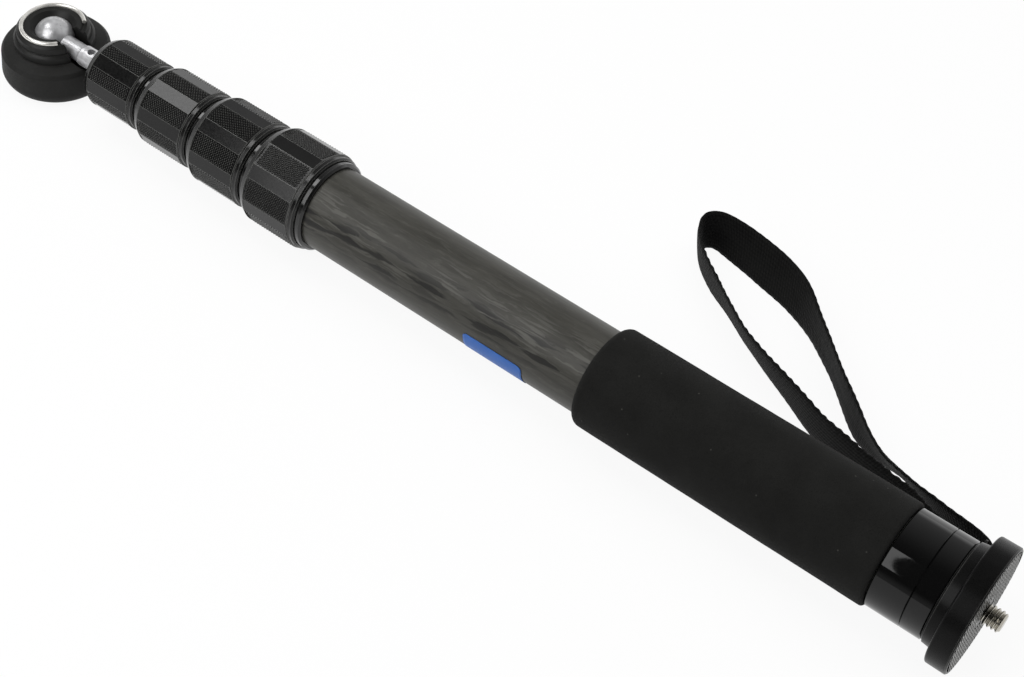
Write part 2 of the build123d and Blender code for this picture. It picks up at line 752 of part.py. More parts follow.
# Wrist strap: its plan follows the route, and its edges rise from the floor to the lug
bend_radii = []
for before, corner, after in zip(strap_route, strap_route[1:], strap_route[2:]):
    turn = Vector(corner[0] - before[0], corner[1] - before[1]).get_angle(
        Vector(after[0] - corner[0], after[1] - corner[1]))
    shorter = min(dist(before, corner), dist(corner, after))
    bend_radii.append(bend_share * shorter / tan(radians(turn / 2)))
    print("strap bend at", corner, "turns", round(turn, 1), "with radius", round(bend_radii[-1], 2))
lug_middle_z = ball_height + cap_end_s * sin(radians(lean)) - lug_slot_drop
lifted_z = lug_middle_z - strap_width / 2
route_left = min(x for x, y in strap_route) - overrun
route_right = max(x for x, y in strap_route) + overrun
route_back = max(y for x, y in strap_route) + overrun
with BuildPart() as wrist_strap:
    with BuildSketch() as strap_plan:
        with BuildLine() as strap_line:
            FilletPolyline(*strap_route, radius=bend_radii)
        trace(line_width=strap_thickness)
    extrude(amount=lifted_z + strap_width + overrun)
    with BuildSketch(Plane.XZ):
        with BuildLine():
            Polyline(
                (route_left, strap_floor_gap),
                (cap_end_s - strap_rise_start, strap_floor_gap),
                (cap_end_s - strap_rise_end, lifted_z),
                (route_right, lifted_z),
                (route_right, lifted_z + strap_width),
                (cap_end_s - strap_rise_end, lifted_z + strap_width),
                (cap_end_s - strap_rise_start, strap_floor_gap + strap_width),
                (route_left, strap_floor_gap + strap_width),
                close=True,
            )
        make_face()
    extrude(amount=-route_back, mode=Mode.INTERSECT)
wrist_strap.part.label = "wrist_strap"
export_step(wrist_strap.part, "parts/wrist_strap.step")
strap_length = sum(edge.length for edge in strap_line.line.edges())
strap_volume = strap_length * strap_width * strap_thickness
print("strap length", round(strap_length, 1), "volume", round(wrist_strap.part.volume), "against", round(strap_volume))
print("strap middle height on the floor", round(strap_floor_gap + strap_width / 2, 2), "at the lug", round(lug_middle_z, 2))

# Figures for the record
for n in range(1, section_count):
    free = tube_top_s[n + 1] - bush_len - tube_start_s[n] - travel_reserve
    print("tube", n + 1, "slides out", round(free, 1))
print("pole leans", round(lean, 3), "degrees, direction", [round(v, 5) for v in along_pole])
rib_middle = pad_rib_pitch * (rib_count - ribs_outside_spot - 1 / 2)
pad_spot = Vector(0, 1, 0) * rib_middle * cos(radians(pad_rib_angle))
pad_spot += along_pole.cross(Vector(0, 1, 0)) * rib_middle * sin(radians(pad_rib_angle))
for title, place, aside in (
    ("camera screw", disc_front_s, Vector(0, 0, 0)),
    ("platform pad", pad_face_s, pad_spot),
):
    print(title, [round(v, 4) for v in ball_centre + along_pole * place + aside])
print("camera screw length", round(stud_reach - stud_tip_chamfer, 3))
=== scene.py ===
from collections import namedtuple
from math import asin, cos, pi, radians, sin, sqrt, tan

import bpy
from mathutils import Matrix, Vector, noise


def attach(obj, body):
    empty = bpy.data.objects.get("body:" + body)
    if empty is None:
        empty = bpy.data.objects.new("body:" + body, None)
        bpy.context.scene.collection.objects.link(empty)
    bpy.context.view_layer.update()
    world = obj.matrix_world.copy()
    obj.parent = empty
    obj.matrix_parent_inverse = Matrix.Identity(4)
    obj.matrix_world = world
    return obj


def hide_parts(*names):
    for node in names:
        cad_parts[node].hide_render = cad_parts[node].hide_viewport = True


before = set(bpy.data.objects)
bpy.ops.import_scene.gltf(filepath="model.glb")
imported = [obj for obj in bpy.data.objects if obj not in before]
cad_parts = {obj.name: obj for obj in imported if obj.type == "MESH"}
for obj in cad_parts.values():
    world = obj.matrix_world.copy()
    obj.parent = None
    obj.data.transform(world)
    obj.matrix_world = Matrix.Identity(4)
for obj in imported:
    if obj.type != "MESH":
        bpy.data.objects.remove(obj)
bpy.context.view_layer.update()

# Sizes are in millimetres and angles in degrees, unless a comment says otherwise. The frame is in metres.
# Places along the pole, named s, start at the ball's centre.
MM = 0.001
LEAN = radians(0.675)
BALL_HEIGHT = 15.8
BALL = Vector((0, 0, BALL_HEIGHT * MM))
POLE = Vector((cos(LEAN), 0, sin(LEAN)))
FRONT = Vector((0, -1, 0))
UP = POLE.cross(FRONT) * -1
MAIN_TUBE_R = 14.0


def on_pole(s, r, angle):
    """A point s along the pole and r from its axis. The angle goes from the front over the top."""
    turn = radians(angle)
    return BALL + POLE * s * MM + (FRONT * cos(turn) + UP * sin(turn)) * r * MM


def uneven(x, y, z=0.0):
    """Smooth noise, between -1 and 1, at a point."""
    return noise.noise(Vector((x, y, z)))


# Camera, as fitted to the photograph, with its place in metres
CAMERA_PLACE = Vector((0.397582, -0.297028, 0.416376))
CAMERA_RIGHT = Vector((0.787, 0.6132, 0.0686))
CAMERA_AHEAD = Vector((-0.3628, 0.5499, -0.7523))
CAMERA_LENS, CAMERA_SENSOR, CAMERA_NEAR = 61.87, 36.0, 10.0


def add_camera():
    data = bpy.data.cameras.new("camera")
    data.sensor_width = CAMERA_SENSOR
    data.lens = CAMERA_LENS
    data.clip_start = CAMERA_NEAR * MM
    camera = bpy.data.objects.new("camera", data)
    right = CAMERA_RIGHT.normalized()
    ahead = (CAMERA_AHEAD - right * CAMERA_AHEAD.dot(right)).normalized()
    turn = Matrix((right, right.cross(ahead), -ahead)).transposed()
    camera.matrix_world = Matrix.Translation(CAMERA_PLACE) @ turn.to_4x4()
    bpy.context.collection.objects.link(camera)
    bpy.context.scene.camera = camera


add_camera()

# Name of the mesh attribute that tells a material how high a relief stands
HEIGHT_NAME = "height"
# How far round an edge the paler edge is looked for: painted edge highlights, partly real wear
WEAR_AND_GLINT_REACH = 0.35


# Shader helpers
def linear(red, green, blue):
    """A colour given in 0 to 255 as it shows, turned by the sRGB curve into a shader's."""
    shown = [v / 255 for v in (red, green, blue)]
    return tuple(v / 12.92 if v < 0.04045 else ((v + 0.055) / 1.055) ** 2.4 for v in shown) + (1.0,)


def add_node(tree, kind, inputs=None, **settings):
    """A new node. Its settings come first, then each input is linked to a socket or set to a value."""
    made = tree.nodes.new(kind)
    for key, value in settings.items():
        setattr(made, key, value)
    for key, value in (inputs or {}).items():
        if isinstance(value, bpy.types.NodeSocket):
            tree.links.new(value, made.inputs[key])
        else:
            made.inputs[key].default_value = value
    return made


class Look:
    """A material that is built step by step round its Principled shader."""

    def __init__(self, name, **inputs):
        self.material = bpy.data.materials.new(name)
        self.material.use_nodes = True
        self.tree = self.material.node_tree
        self.shader = self.tree.nodes["Principled BSDF"]
        for key, value in inputs.items():
            self.shader.inputs[key.replace("_", " ")].default_value = value

    def add(self, kind, inputs=None, **settings):
        return add_node(self.tree, kind, inputs, **settings)

    def calc(self, operation, first, second=0.0, third=0.0):
        return self.add("ShaderNodeMath", {0: first, 1: second, 2: third}, operation=operation).outputs[0]

    def place(self, stretch=(1, 1, 1)):
        """The point on the object in millimetres, with its axes stretched."""
        spot = self.add("ShaderNodeTexCoord").outputs["Object"]
        scale = tuple(v / MM for v in stretch)
        return self.add("ShaderNodeMapping", {"Vector": spot, "Scale": scale}).outputs[0]

    def pole_place(self):
        """The place along the pole, near enough, and the angle about it in turns."""
        x, y, z = self.add("ShaderNodeSeparateXYZ", {0: self.place()}).outputs
        drop = self.calc("MULTIPLY_ADD", x, -tan(LEAN), -BALL_HEIGHT)
        height = self.calc("ADD", z, drop)
        turn = self.calc("ARCTAN2", height, y)
        return x, self.calc("MULTIPLY", turn, 1 / (2 * pi))

    def flat(self, x, y):
        """The point (x, y) for a texture."""
        return self.add("ShaderNodeCombineXYZ", {0: x, 1: y}).outputs[0]

    def stretched(self, x, x_scale, y, y_scale):
        return self.flat(self.calc("MULTIPLY", x, x_scale), self.calc("MULTIPLY", y, y_scale))

    def noise(self, place, scale, detail=3.0, roughness=0.55):
        inputs = {"Vector": place, "Scale": scale, "Detail": detail, "Roughness": roughness}
        return self.add("ShaderNodeTexNoise", inputs).outputs[0]

    def cells(self, place, scale):
        """The distance from the middle of the nearest of many scattered cells."""
        inputs = {"Vector": place, "Scale": scale, "Randomness": 1.0}
        return self.add("ShaderNodeTexVoronoi", inputs).outputs["Distance"]

    def height_mark(self):
        """The height that mark_heights gave the mesh, from 0 to 1."""
        return self.add("ShaderNodeAttribute", attribute_name=HEIGHT_NAME).outputs["Fac"]

    def ramp(self, value, low, high, start=0.0, end=1.0):
        """From start, where the value is low, to end, where it is high, and no further."""
        inputs = {"Value": value, "From Min": low, "From Max": high, "To Min": start, "To Max": end}
        return self.add("ShaderNodeMapRange", inputs).outputs[0]

    def mix(self, share, first, second):
        return self.add("ShaderNodeMix", {0: share, 6: first, 7: second}, data_type="RGBA").outputs[2]

    def set(self, name, socket):
        self.tree.links.new(socket, self.shader.inputs[name])

    def bump(self, height, depth, rounding=0.0):
        """Fine relief, depth millimetres for a height of 1, on edges rounded by some millimetres."""
        inputs = {"Height": height, "Distance": depth * MM, "Strength": 1.0}
        if rounding:
            inputs["Normal"] = self.add("ShaderNodeBevel", {"Radius": rounding * MM}, samples=6).outputs[0]
        self.set("Normal", self.add("ShaderNodeBump", inputs).outputs[0])


# Materials
def grained(
    name, colour, pale, roughness, grain_scale, grain_depth,
    rounding=0.25, wear_and_glint=0.5, drifting=0.22, edges=(0.995, 0.90), spread=0.07, **inputs,
):
    """Moulded or painted stuff: fine grain, slow colour drift and paler edges, which are painted edge
    highlights and partly real rubbed wear.

    wear_and_glint and drifting are the shares of the pale colour on an edge and where the colour drifts.
    The painted edge highlight grows as the cosine between the rounded and the plain normal falls through
    the two values of edges.
    """
    look = Look(name, **inputs)
    spot = look.place()
    drift = look.noise(spot, 0.12, 4)
    fine = look.noise(spot, grain_scale, 3)
    rounded = look.add("ShaderNodeBevel", {"Radius": WEAR_AND_GLINT_REACH * MM}, samples=4).outputs[0]
    plain = look.add("ShaderNodeNewGeometry").outputs["Normal"]
    same = look.add("ShaderNodeVectorMath", {0: rounded, 1: plain}, operation="DOT_PRODUCT")
    # Painted edge highlights, partly rubbed wear: the pale colour goes on edges where the rounded normal
    # turns away
    worn_and_glinting_edge = look.ramp(same.outputs["Value"], edges[0], edges[1], 0.0, wear_and_glint)
    share = look.calc("MAXIMUM", worn_and_glinting_edge, look.ramp(drift, 0.3, 0.7, 0.0, drifting))
    look.set("Base Color", look.mix(share, linear(*colour), linear(*pale)))
    look.set("Roughness", look.ramp(fine, 0.3, 0.7, roughness - spread, roughness + spread))
    look.bump(fine, grain_depth, rounding)
    return look.material


def slivers(look, s, arc, length, width, shift, missing):
    """Long pointed slivers of fibre along the pole, the given share of them missing."""
    along = look.calc("MULTIPLY_ADD", s, 1 / length, shift)
    across = look.calc("MULTIPLY_ADD", arc, 1 / width, shift)
    cell = look.add(
        "ShaderNodeTexVoronoi", {"Vector": look.flat(along, across), "Scale": 1.0, "Randomness": 0.9},
        voronoi_dimensions="2D", distance="MANHATTAN",
    )
    pick = look.add("ShaderNodeSeparateColor", {0: cell.outputs["Color"]}).outputs[0]
    body = look.ramp(cell.outputs["Distance"], 0.56, 0.36)
    return look.calc("MULTIPLY", body, look.ramp(pick, missing, missing + 0.15))


# Carbon pattern. The bands' start is in turns, their twist in turns for each millimetre, and the lag of the
# pale slivers in radians of the bands' wave.
TUBE_GIRTH = 88.0
BANDS, BAND_START, BAND_TWIST, PALE_LAG = 2, -0.463, 0.00028, 0.62
FIBRE_SLANT, FIBRE_WAVER = 0.03, 3.4


def carbon():
    """Matte tube with bands of long dark and pale slivers of fibre, and finer fibres all over."""
    look = Look("carbon_tube", Specular_IOR_Level=0.30)
    s, turn = look.pole_place()
    arc = look.calc("MULTIPLY", turn, TUBE_GIRTH)
    waver = look.noise(look.stretched(s, 0.09, arc, 0.5), 1.0, 3)
    skew = look.calc("MULTIPLY_ADD", s, FIBRE_SLANT, look.calc("MULTIPLY_ADD", waver, FIBRE_WAVER, arc))
    phase = look.calc("MULTIPLY_ADD", s, BAND_TWIST, look.calc("ADD", turn, BAND_START))
    on_band = look.calc("COSINE", look.calc("MULTIPLY", phase, 2 * pi * BANDS))
    beside_band = look.calc("COSINE", look.calc("MULTIPLY_ADD", phase, 2 * pi * BANDS, PALE_LAG))
    dark = slivers(look, s, skew, length=19.0, width=1.9, shift=0.0, missing=0.18)
    dark = look.calc("MULTIPLY", dark, look.ramp(on_band, 0.66, 0.94, 0.16, 1.0))
    pale = slivers(look, s, skew, length=16.0, width=0.85, shift=7.3, missing=0.50)
    pale = look.calc("MULTIPLY", pale, look.ramp(beside_band, 0.4, 0.9, 0.15, 0.8))
    fibre = look.noise(look.stretched(s, 0.14, skew, 2.0), 1.0, 4, 0.6)
    cloud = look.noise(look.stretched(s, 0.05, arc, 0.3), 1.0, 3)
    base = look.mix(look.ramp(cloud, 0.3, 0.7), linear(53, 52, 47), linear(66, 65, 60))
    base = look.mix(look.ramp(fibre, 0.54, 0.70, 0.0, 0.5), base, linear(88, 87, 82))
    base = look.mix(look.ramp(fibre, 0.47, 0.34, 0.0, 0.3), base, linear(38, 37, 34))
    base = look.mix(look.calc("MULTIPLY", pale, 0.6), base, linear(98, 97, 92))
    base = look.mix(look.calc("MULTIPLY", dark, 0.9), base, linear(24, 23, 22))
    look.set("Base Color", base)
    look.set("Roughness", look.ramp(fibre, 0.3, 0.7, 0.36, 0.50))
    look.bump(look.calc("MULTIPLY_ADD", dark, -0.3, look.calc("MULTIPLY", fibre, 0.7)), 0.02)
    return look.material


def foam():
    """Close foam rubber with fine pits and a few specks of lint."""
    look = Look("grip_foam", Specular_IOR_Level=0.08, Sheen_Weight=0.02, Sheen_Roughness=0.5)
    spot = look.place()
    pits = look.cells(spot, 1.9)
    fine = look.noise(spot, 3.2, 4, 0.65)
    drift = look.noise(spot, 0.09, 3)
    speck = look.ramp(look.cells(spot, 0.21), 0.07, 0.045)
    base = look.mix(look.ramp(drift, 0.35, 0.65), linear(27, 27, 26), linear(31, 31, 30))
    # Painted shade: the pits are painted darker
    base = look.mix(look.ramp(pits, 0.28, 0.10, 0.0, 0.55), base, linear(12, 12, 11))
    base = look.mix(look.calc("MULTIPLY", speck, 0.5), base, linear(74, 73, 70))
    look.set("Base Color", base)
    look.set("Roughness", look.ramp(fine, 0.3, 0.7, 0.78, 0.92))
    height = look.calc("MULTIPLY_ADD", fine, 0.6, look.ramp(pits, 0.05, 0.35, 0.0, 0.6))
    look.bump(height, 0.10)
    return look.material


# The weave's steps: from row to row along the band, and from thread to thread across it
WEAVE_ROW, WEAVE_THREAD = 1.15, 1.3
WEAVE_MAP = "band"


def webbing():
    """Black woven band: ribs across it and warp threads along it, its crowns painted paler than its hollows
    as painted light and shade, with random paler fuzz.
    """
    look = Look("strap_weave", Specular_IOR_Level=0.12, Sheen_Weight=0.03, Sheen_Roughness=0.4)
    spot = look.add("ShaderNodeUVMap", uv_map=WEAVE_MAP).outputs[0]
    along, across, _ = look.add("ShaderNodeSeparateXYZ", {0: spot}).outputs
    row = look.calc("MULTIPLY", along, 2 * pi / WEAVE_ROW)
    rib = look.calc("SINE", look.calc("MULTIPLY_ADD", across, pi / WEAVE_THREAD, row))
    warp = look.calc("COSINE", look.calc("MULTIPLY", across, 2 * pi / WEAVE_THREAD))
    weave = look.calc("MULTIPLY_ADD", rib, 0.30, look.calc("MULTIPLY_ADD", warp, 0.20, 0.5))
    place = look.flat(along, across)
    fuzz = look.noise(place, 3.0, 4, 0.65)
    drift = look.noise(place, 0.12, 2)
    # Painted light and shade: the weave's crowns are painted paler and its hollows darker
    base = look.mix(look.ramp(weave, 0.2, 0.9), linear(10, 10, 10), linear(24, 24, 23))
    base = look.mix(look.ramp(drift, 0.4, 0.7, 0.0, 0.3), base, linear(28, 28, 27))
    base = look.mix(look.ramp(fuzz, 0.58, 0.75, 0.0, 0.3), base, linear(38, 38, 37))
    look.set("Base Color", base)
    look.set("Roughness", look.ramp(fuzz, 0.3, 0.7, 0.66, 0.86))
    look.bump(look.calc("MULTIPLY_ADD", fuzz, 0.35, weave), 0.16)
    return look.material


def gloss_cap():
    """Shiny moulded cap, with a faint orange peel and hairline scuffs."""
    look = Look("cap_gloss", Specular_IOR_Level=0.30)
    peel = look.noise(look.place(), 0.55, 2)
    s, turn = look.pole_place()
    scuff = look.noise(look.stretched(s, 2.6, turn, 26), 1.0, 4, 0.7)
    scuffed = look.ramp(scuff, 0.6, 0.8, 0.0, 0.4)
    look.set("Base Color", look.mix(scuffed, linear(11, 11, 11), linear(26, 26, 25)))
    look.set("Roughness", look.ramp(scuff, 0.35, 0.75, 0.02, 0.045))
    look.bump(peel, 0.0008)
    return look.material


def metal(name, colour, roughness, brushed=(1, 1, 1), metallic=1.0):
    """Bare or plated metal with fine marks and slightly uneven polish."""
    look = Look(name, Metallic=metallic)
    marks = look.noise(look.place(brushed), 1.0, 4, 0.6)
    drift = look.noise(look.place(), 0.35, 3)
    darker = tuple(v * 0.72 for v in colour)
    dulled = look.ramp(drift, 0.3, 0.7, 0.0, 0.6)
    look.set("Base Color", look.mix(dulled, linear(*colour), linear(*darker)))
    look.set("Roughness", look.ramp(marks, 0.3, 0.7, roughness * 0.75, roughness * 1.35))
    look.bump(marks, 0.004, 0.12)
    return look.material


def printed_label():
    """Blue film with a slightly uneven print and a soft sheen."""
    look = Look("label_blue", Specular_IOR_Level=0.15)
    spot = look.place()
    dots = look.noise(spot, 4.0, 3, 0.6)
    drift = look.noise(spot, 0.15, 3)
    base = look.mix(look.ramp(drift, 0.3, 0.7), linear(56, 102, 178), linear(64, 110, 186))
    base = look.mix(look.ramp(dots, 0.6, 0.8, 0.0, 0.3), base, linear(92, 130, 188))
    look.set("Base Color", base)
    look.set("Roughness", look.ramp(dots, 0.3, 0.7, 0.38, 0.5))
    look.bump(dots, 0.006)
    return look.material


def knurled():
    """Collar plastic, near black, with the pyramids' tips painted pale: painted glints, partly rubbed wear.
    """
    look = Look("collar_knurl", Specular_IOR_Level=0.32)
    spot = look.place()
    fine = look.noise(spot, 2.6, 3)
    # Painted glints, partly real wear: the pyramids' tips go pale, varied by noise
    tip = look.ramp(look.calc("POWER", look.height_mark(), 2.0), 0.15, 0.9, 0.0, 0.9)
    tip_glint_and_wear = look.calc("MULTIPLY", tip, look.ramp(look.noise(spot, 0.3, 3), 0.3, 0.7, 0.75, 1.0))
    look.set("Base Color", look.mix(tip_glint_and_wear, linear(3, 3, 3), linear(112, 112, 109)))
    look.set("Roughness", look.ramp(fine, 0.3, 0.7, 0.20, 0.30))
    look.bump(fine, 0.004)
    return look.material


def pad_rubber():
    """Rubber facing, smooth on the crests of its ribs and dull between them, the crests painted grey as a
    painted reflection and the grooves painted black as painted shade.
    """
    look = Look("pad_rubber", Specular_IOR_Level=0.22)
    crest = look.height_mark()
    fleck = look.noise(look.place(), 2.4, 4, 0.65)
    # Painted reflection and painted shade: the rib crests are painted grey and the grooves black
    base = look.mix(look.ramp(crest, 0.5, 1.0, 0.0, 0.95), linear(6, 6, 6), linear(146, 146, 142))
    base = look.mix(look.ramp(fleck, 0.62, 0.78, 0.0, 0.4), base, linear(118, 118, 115))
    look.set("Base Color", base)
    look.set("Roughness", look.calc("MULTIPLY_ADD", fleck, 0.1, look.ramp(crest, 0.3, 1.0, 0.90, 0.18)))
    look.bump(fleck, 0.01)
    return look.material


# The material of each slot in the record
looks = {
    "black_plastic": grained(
        "black_plastic", colour=(12, 12, 12), pale=(58, 58, 56), roughness=0.27, grain_scale=2.2,
        grain_depth=0.006, drifting=0.12,
    ),
    "foot_rubber": grained(
        "foot_rubber", colour=(26, 26, 25), pale=(44, 44, 43), roughness=0.60, grain_scale=1.6,
        grain_depth=0.02, rounding=0.45, wear_and_glint=0.3, Specular_IOR_Level=0.22,
    ),
    "wiper_rubber": grained(
        "wiper_rubber", colour=(15, 15, 15), pale=(30, 30, 30), roughness=0.55, grain_scale=2.0,
        grain_depth=0.02, Specular_IOR_Level=0.25,
    ),
    # Its pale colour goes on the edges as painted edge highlights, partly wear
    "black_alloy": grained(
        "black_alloy", colour=(8, 8, 8), pale=(84, 84, 82), roughness=0.30, grain_scale=3.4,
        grain_depth=0.006, rounding=0.15, wear_and_glint=0.7, drifting=0.03, edges=(0.990, 0.93),
        Specular_IOR_Level=0.10,
    ),
    "carbon_tube": carbon(),
    "grip_foam": foam(),
    "cap_gloss": gloss_cap(),
    "pad_rubber": pad_rubber(),
    "chrome_wire": metal("chrome_wire", (250, 248, 242), 0.13, metallic=0.55),
    "bright_steel": metal("bright_steel", (196, 192, 182), 0.20, brushed=(2.4, 0.5, 0.5)),
    "label_blue": printed_label(),
    "strap_weave": webbing(),
}

# Materials for pieces that look different from the rest of their slot
satin_steel = metal("satin_steel", (222, 222, 224), 0.36, brushed=(0.8, 1.6, 1.6), metallic=0.72)
cup_look = grained(
    "cup_satin", colour=(24, 24, 23), pale=(40, 40, 39), roughness=0.46, grain_scale=1.4,
    grain_depth=0.004, rounding=0.5, wear_and_glint=0.3, Specular_IOR_Level=0.28,
)
# Its pale colour is mostly the painted highlight on the facet edges
collar_look = grained(
    "collar_plastic", colour=(8, 8, 8), pale=(128, 128, 125), roughness=0.18, grain_scale=1.2,
    grain_depth=0.0015, rounding=0.10, drifting=0.02, edges=(0.9990, 0.984), spread=0.03,
    Specular_IOR_Level=0.32,
)
# Its pale colour goes on the ring's edges as painted edge highlights
ring_look = grained(
    "ring_gloss", colour=(8, 8, 8), pale=(90, 90, 88), roughness=0.12, grain_scale=1.2,
    grain_depth=0.001, rounding=0.10, wear_and_glint=0.4, drifting=0.04, edges=(0.990, 0.93), spread=0.03,
)
knurl_look = knurled()


# Mesh helpers
def own(name, points, faces, body, slot, smooth=True, look=None):
    """A mesh piece in the frame's axes that rides on a body. Its look is its slot's, or the one given."""
    mesh = bpy.data.meshes.new(name)
    mesh.from_pydata([tuple(p) for p in points], [], faces)
    mesh.update()
    if smooth:
        mesh.shade_smooth()
    piece = bpy.data.objects.new(name, mesh)
    bpy.context.collection.objects.link(piece)
    piece.data.materials.append(look or looks[slot])
    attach(piece, body)
    return piece


def mark_heights(piece, heights):
    """Gives each point of a piece its height in the relief, from 0 to 1, for the material."""
    layer = piece.data.attributes.new(HEIGHT_NAME, "FLOAT", "POINT")
    layer.data.foreach_set("value", heights)


def grid_faces(rows, columns, wrap_rows=False, wrap_columns=False):
    faces = []
    for i in range(rows if wrap_rows else rows - 1):
        for j in range(columns if wrap_columns else columns - 1):
            a, b = i * columns, (i + 1) % rows * columns
            k = (j + 1) % columns
            faces.append((a + j, a + k, b + k, b + j))
    return faces


def lathe(name, outline_at, segments, slot, closed=True):
    """A turned piece of the upper section.

    outline_at gives the points (s, r) of its outline at an angle. Drawn with s to the right and r upwards,
    they go clockwise.
    """
    points = []
    for k in range(segments):
        angle = 360 * k / segments
        outline = outline_at(angle)
        points += [on_pole(s, r, angle) for s, r in outline]
    faces = grid_faces(segments, len(outline), wrap_rows=True, wrap_columns=closed)
    return own(name, points, faces, "upper_section", slot)


def arc_points(centre, radius, start, end, steps):
    points = []
    for k in range(steps + 1):
        turn = radians(start + (end - start) * k / steps)
        points.append((centre[0] + radius * cos(turn), centre[1] + radius * sin(turn)))
    return points


# Wrist strap: the band's middle line, as (x, y, z)
strap_route = [
    (350.5, 17.35, 13.45), (343.5, 17.9, 13.3), (334.5, 20.9, 12.5), (326.5, 24.4, 11.7),
    (317.0, 26.1, 10.8), (304.0, 29.9, 9.2), (290.5, 34.8, 7.8), (279.0, 40.2, 7.6), (266.0, 45.6, 7.3),
    (255.3, 50.7, 7.2), (244.5, 57.4, 7.4), (232.6, 64.6, 7.6), (225.5, 69.6, 7.6), (220.6, 75.4, 7.6),
    (218.6, 81.2, 7.5), (222.0, 85.0, 7.3), (229.0, 85.0, 7.0), (238.5, 83.2, 6.9), (250.0, 80.4, 7.3),
    (260.5, 76.2, 7.6), (270.0, 69.2, 7.7), (280.0, 61.4, 7.6), (290.5, 51.9, 7.6), (301.5, 42.4, 7.8),
    (311.0, 36.8, 9.2), (320.5, 33.5, 11.0), (330.0, 29.4, 12.1), (341.0, 25.6, 12.9),
    (354.2, 21.9, 13.45), (354.4, 17.3, 13.45), (350.6, 17.3, 13.45),
]
# How far the band leans outwards, at shares of its length
strap_leans = [
    (0.0, 0), (0.10, 0), (0.16, 2), (0.21, 6), (0.25, 12), (0.30, 19), (0.335, 22), (0.38, 15), (0.43, 9),
    (0.49, 8), (0.525, 20), (0.555, 30), (0.60, 22), (0.65, 2), (0.69, -6), (0.73, -8), (0.79, -3),
    (0.812, -9), (0.83, -26), (0.85, -36), (0.87, -34), (0.89, -26), (0.92, -16), (0.965, 0), (1.0, 0),
]
# The leans' corners are rounded over this many steps each way, each a share of the length
LEAN_EASE_STEPS, LEAN_EASE_STEP = 4, 0.006
STRAP_WIDTH, STRAP_THICKNESS = 15.0, 1.4
# Cross sections along the band, and points on each side of one
STRAP_ROWS, STRAP_COLUMNS = 620, 13
# Shares of the length over which the waves grow from the held ends
HELD_START, HELD_END = 0.04, 0.06
SPLINE_STEPS = 24
# Length of the edges' short wave, and how far its phase wanders, in radians
EDGE_WAVE, EDGE_WANDER = 3.3, 0.9
# An edge's short wave in the band's plane and out of it, and where its slow wave is read in the noise
Edge = namedtuple("Edge", "scallop ripple seed")
UPPER_EDGE = Edge(0.10, 0.13, 3.0)
LOWER_EDGE = Edge(0.03, 0.04, 9.0)
# The slow wave in the band's plane and out of it, the hollow of its middle and the swell of a row
SLOW_SCALLOP, SLOW_RIPPLE, CUP_DEPTH, ROW_SWELL = 0.15, 0.35, 0.25, 0.04
# What the waves and rows are given of the half width and half thickness, and how much thinner the rims are
WIDTH_TRIM, THICKNESS_TRIM, RIM_THINNING = 0.2, 0.1, 0.6


def spline_points(route, count):
    """Evenly spaced points on the route's NURBS spline, and its length, in metres."""
    curve = bpy.data.curves.new("strap_line", "CURVE")
    curve.dimensions = "3D"
    spline = curve.splines.new("NURBS")
    spline.points.add(len(route) - 1)
    for point, spot in zip(spline.points, route):
        point.co = (spot[0] * MM, spot[1] * MM, spot[2] * MM, 1)
    spline.order_u = 3
    spline.use_endpoint_u = True
    spline.resolution_u = SPLINE_STEPS
    holder = bpy.data.objects.new("strap_line", curve)
    mesh = bpy.data.meshes.new_from_object(holder)
    line = [v.co.copy() for v in mesh.vertices]
    bpy.data.objects.remove(holder)
    bpy.data.meshes.remove(mesh)
    bpy.data.curves.remove(curve)
    run = [0.0]
    for a, b in zip(line, line[1:]):
        run.append(run[-1] + (b - a).length)
    points = []
    k = 0
    for i in range(count):
        want = run[-1] * i / (count - 1)
        while k < len(run) - 2 and run[k + 1] < want:
            k += 1
        share = (want - run[k]) / (run[k + 1] - run[k])
        points.append(line[k].lerp(line[k + 1], min(1.0, share)))
    return points, run[-1]


def between(table, share):
    """The value at a share of the length, on straight runs between the table's rows."""
    for (a, low), (b, high) in zip(table, table[1:]):
        if share <= b:
            return low + (high - low) * max(0.0, share - a) / (b - a)
    return table[-1][1]


def lean_at(share):
    """The band's lean in radians at a share of its length, with the table's corners rounded."""
    steps = range(-LEAN_EASE_STEPS, LEAN_EASE_STEPS + 1)
    near = [min(1.0, max(0.0, share + k * LEAN_EASE_STEP)) for k in steps]
    return radians(sum(between(strap_leans, t) for t in near) / len(near))


def strap_section(run, waving):
    """The band's cross section at a run along it, as (across, through, across when flat) for each point.

    Its edges wave and curl and its middle is cupped, not at all for a waving of 0, and in full for 1.
    """
    beat = sin(2 * pi * run / EDGE_WAVE + EDGE_WANDER * uneven(run * 0.15, 5.0))
    section = []
    for side in (1, -1):
        for j in range(STRAP_COLUMNS):
            v = side * (j / (STRAP_COLUMNS - 1) * 2 - 1)
            out = abs(v)
            rim = out**6
            edge = UPPER_EDGE if v > 0 else LOWER_EDGE
            slow = uneven(run * 0.09, edge.seed)
            half = STRAP_WIDTH / 2 - WIDTH_TRIM
            half += waving * (edge.scallop * beat + SLOW_SCALLOP * slow) * out**3
            ripple = waving * (edge.ripple * beat + SLOW_RIPPLE * slow) * out**4
            cup = waving * CUP_DEPTH * (out**2 - 0.4)
            swell = (1 - rim * RIM_THINNING) * (STRAP_THICKNESS / 2 - THICKNESS_TRIM)
            swell += ROW_SWELL * sin(2 * pi * run / WEAVE_ROW + pi * j * 0.5) * (1 - rim)
            section.append((v * half, side * swell + ripple + cup, v * STRAP_WIDTH / 2))
    return section


